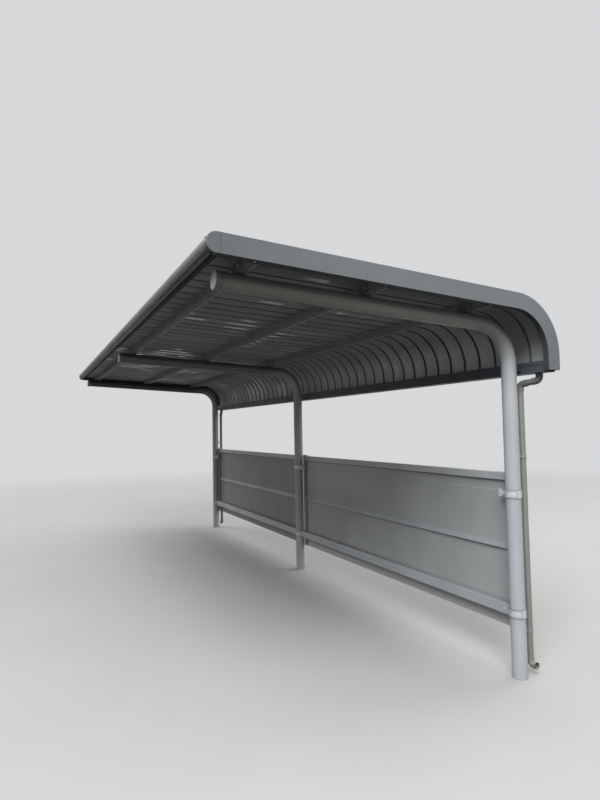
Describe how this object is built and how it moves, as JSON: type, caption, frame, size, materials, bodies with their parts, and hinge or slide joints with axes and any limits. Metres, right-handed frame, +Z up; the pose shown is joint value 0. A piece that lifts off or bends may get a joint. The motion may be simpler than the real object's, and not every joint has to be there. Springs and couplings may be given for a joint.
{
  "type": "bicycle shelter",
  "caption": "Cantilevered bicycle shelter: bent pipe frames carry a ribbed sheet roof that curves down at the back to a gutter, above low back panels.",
  "frame": {"origin": "on the ground at the axis of the middle post", "axes": "+X along the shelter, to the right seen from the open front (-Y side); -Y is the open front and +Y the panelled back; +Z is up"},
  "size_m": [6.23, 2.1237, 2.3198],
  "materials": {
    "frame_paint": "satin light grey powder coat",
    "cap_plastic": "matt grey moulded cap",
    "cleat_steel": "satin grey paint",
    "purlin_steel": "satin grey paint",
    "roof_sheet": "matt dark grey coated sheet",
    "edge_paint": "satin mid grey coated sheet",
    "trim_paint": "satin mid grey coated sheet",
    "gutter_metal": "satin dark grey coated sheet",
    "downpipe_plastic": "matt warm grey plastic pipe",
    "clip_metal": "dull stainless band",
    "rail_paint": "satin grey aluminium profile",
    "panel_sheet": "matt grey flat sheet",
    "girt_paint": "satin light grey paint",
    "clamp_metal": "satin light grey paint"
  },
  "bodies": {
    "root": {"frame_right": "frame_paint", "frame_middle": "frame_paint", "frame_left": "frame_paint", "arm_cap_right": "cap_plastic", "arm_cap_middle": "cap_plastic", "arm_cap_left": "cap_plastic", "purlin_front": "purlin_steel", "purlin_middle": "purlin_steel", "purlin_rear": "purlin_steel", "purlin_cleats_right": "cleat_steel", "purlin_cleats_middle": "cleat_steel", "purlin_cleats_left": "cleat_steel", "roof_sheet_1": "roof_sheet", "roof_sheet_2": "roof_sheet", "roof_sheet_3": "roof_sheet", "roof_sheet_4": "roof_sheet", "roof_sheet_5": "roof_sheet", "front_edge_right": "edge_paint", "front_edge_left": "edge_paint", "gable_trim_right": "trim_paint", "gable_trim_left": "trim_paint", "gutter": "gutter_metal", "gutter_cap_right": "gutter_metal", "gutter_cap_left": "gutter_metal", "drain_elbows_right": "downpipe_plastic", "drain_elbows_left": "downpipe_plastic", "downpipe_right": "downpipe_plastic", "downpipe_left": "downpipe_plastic", "pipe_clips_right": "clip_metal", "pipe_clips_left": "clip_metal", "top_rail_right": "rail_paint", "top_rail_left": "rail_paint", "mid_rail_right": "rail_paint", "mid_rail_left": "rail_paint", "upper_sheet_right": "panel_sheet", "upper_sheet_left": "panel_sheet", "lower_sheet_right": "panel_sheet", "lower_sheet_left": "panel_sheet", "panel_stiles_right": "rail_paint", "panel_stiles_left": "rail_paint", "girt_right": "girt_paint", "girt_left": "girt_paint", "band_clamps_right": "clamp_metal", "band_clamps_middle": "clamp_metal", "band_clamps_left": "clamp_metal"}
  },
  "joints": []
}
